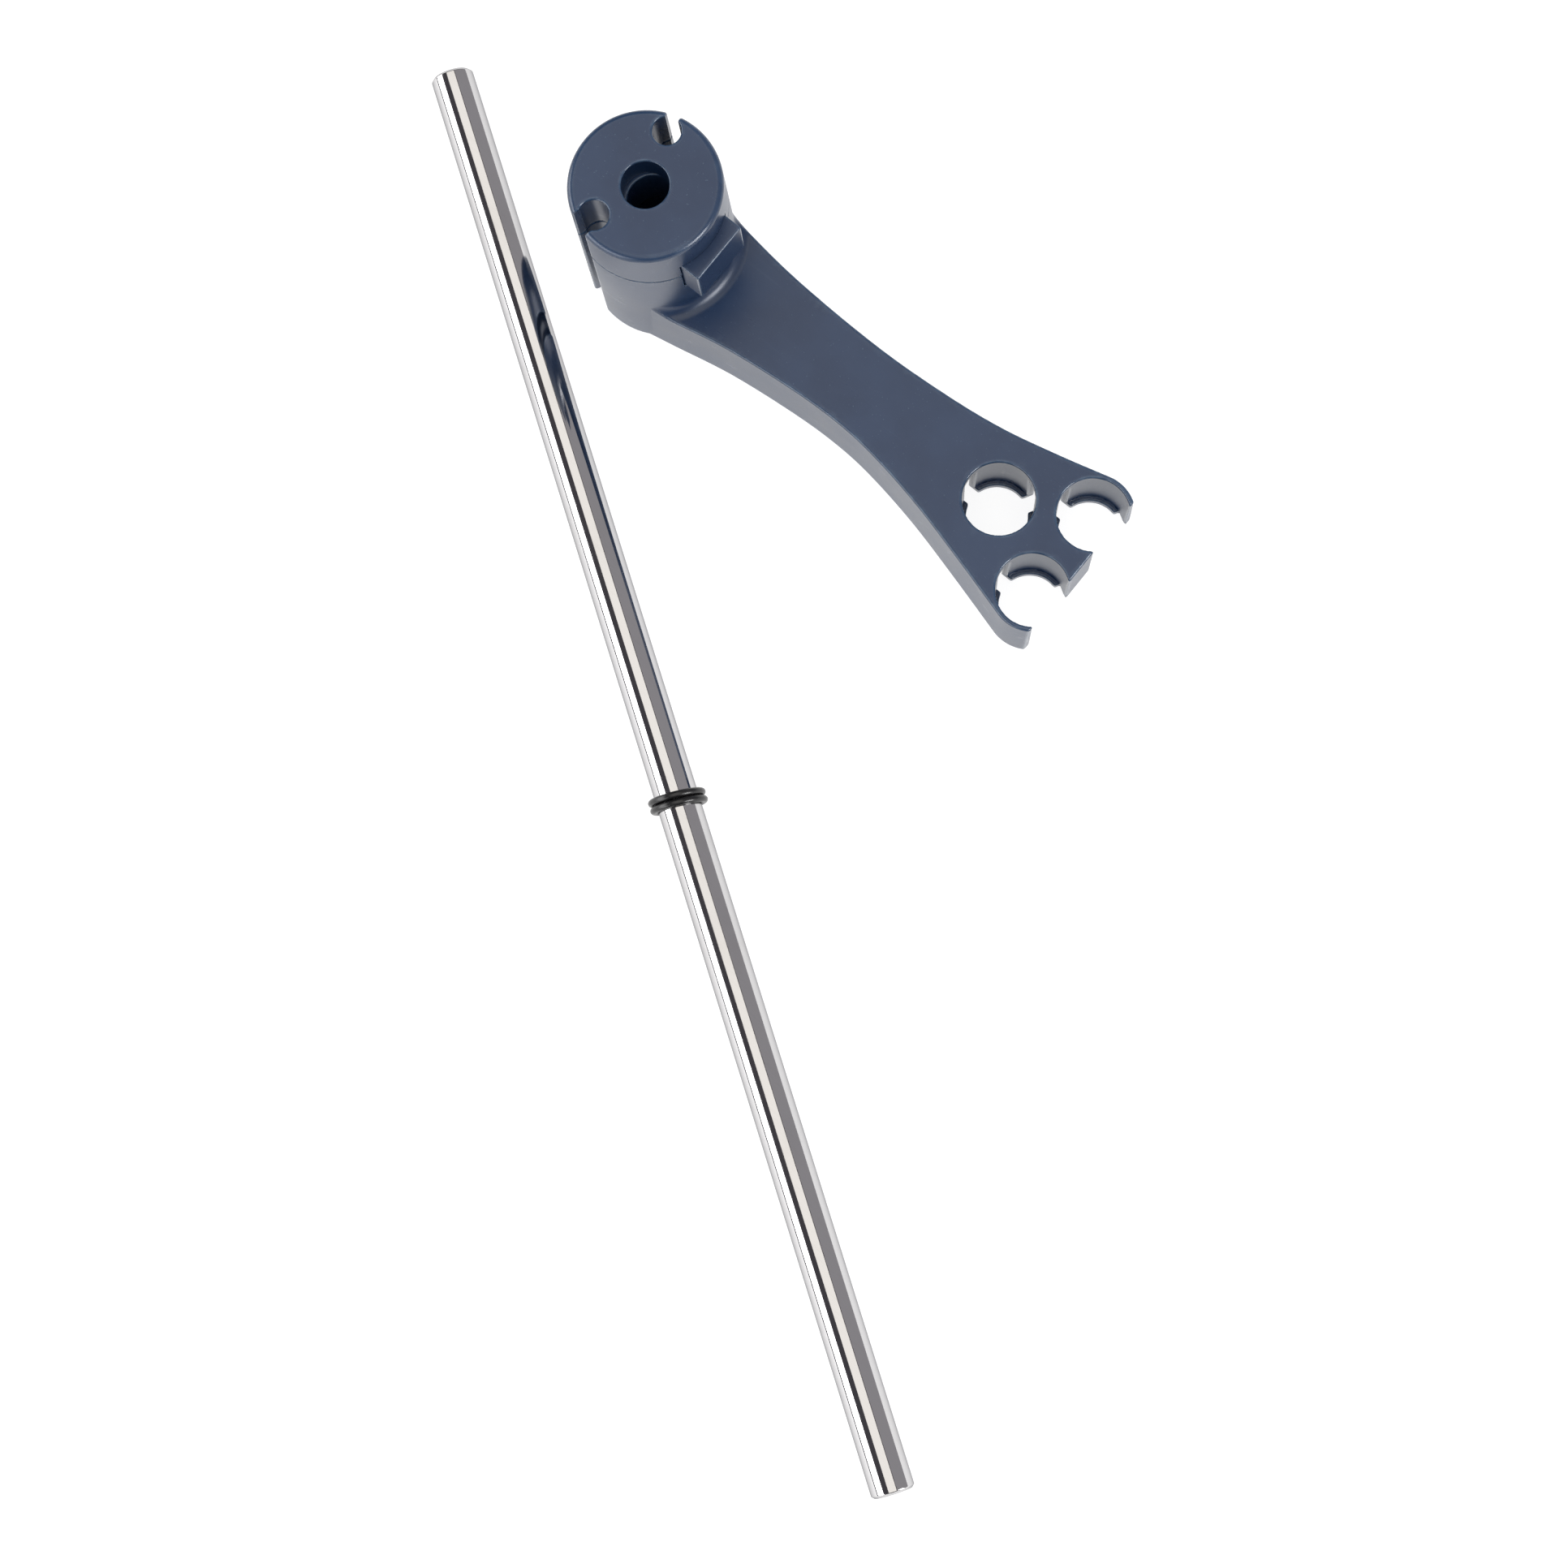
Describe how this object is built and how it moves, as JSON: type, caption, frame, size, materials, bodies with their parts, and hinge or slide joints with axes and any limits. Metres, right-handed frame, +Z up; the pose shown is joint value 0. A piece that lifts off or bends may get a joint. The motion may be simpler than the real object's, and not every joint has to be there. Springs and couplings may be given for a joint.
{
  "type": "electrode holder arm",
  "caption": "Moulded laboratory electrode holder arm with a round hub, cable slots, release button and clip sockets, lying beside its steel support rod with rubber stop rings.",
  "frame": {"origin": "middle of the underside of the whole layout, arm and rod lying on a table", "axes": "+X along the arm from its hub towards the sockets, +Z up, parallel to the hub's bore"},
  "size_m": [0.2748, 0.2004, 0.0565],
  "materials": {
    "moulded_arm": "semi-matte slate blue moulded plastic",
    "steel_rod": "mirror-polished stainless steel",
    "stop_ring": "smooth black rubber",
    "steel_fitting": "bright zinc-plated steel"
  },
  "bodies": {
    "arm": {"arm_body": "moulded_arm", "hub_cap": "moulded_arm", "lock_spring": "steel_fitting", "cap_screw_1": "steel_fitting", "cap_screw_2": "steel_fitting", "cap_screw_3": "steel_fitting", "cap_screw_4": "steel_fitting"},
    "button": {"release_button": "moulded_arm"},
    "support_rod": {"rod": "steel_rod"},
    "upper_ring": {"o_ring_upper": "stop_ring"},
    "lower_ring": {"o_ring_lower": "stop_ring"}
  },
  "joints": [
    {"name": "button_press", "type": "slide", "parent": "arm", "child": "button", "axis": [-1, 0, 0], "range_m": [0, 0.0026], "stiffness_N_per_m": 500, "springref_m": -0.003, "deforming": ["lock_spring"]},
    {"name": "rod_lift", "type": "slide", "parent": "arm", "child": "support_rod", "axis": [0, 0, 1], "range_m": [0, 0.12]},
    {"name": "upper_ring_slide", "type": "slide", "parent": "support_rod", "child": "upper_ring", "axis": [-0.8339, 0.5519, 0], "range_m": [0, 0.164]},
    {"name": "lower_ring_slide", "type": "slide", "parent": "support_rod", "child": "lower_ring", "axis": [0.8339, -0.5519, 0], "range_m": [0, 0.148]}
  ]
}
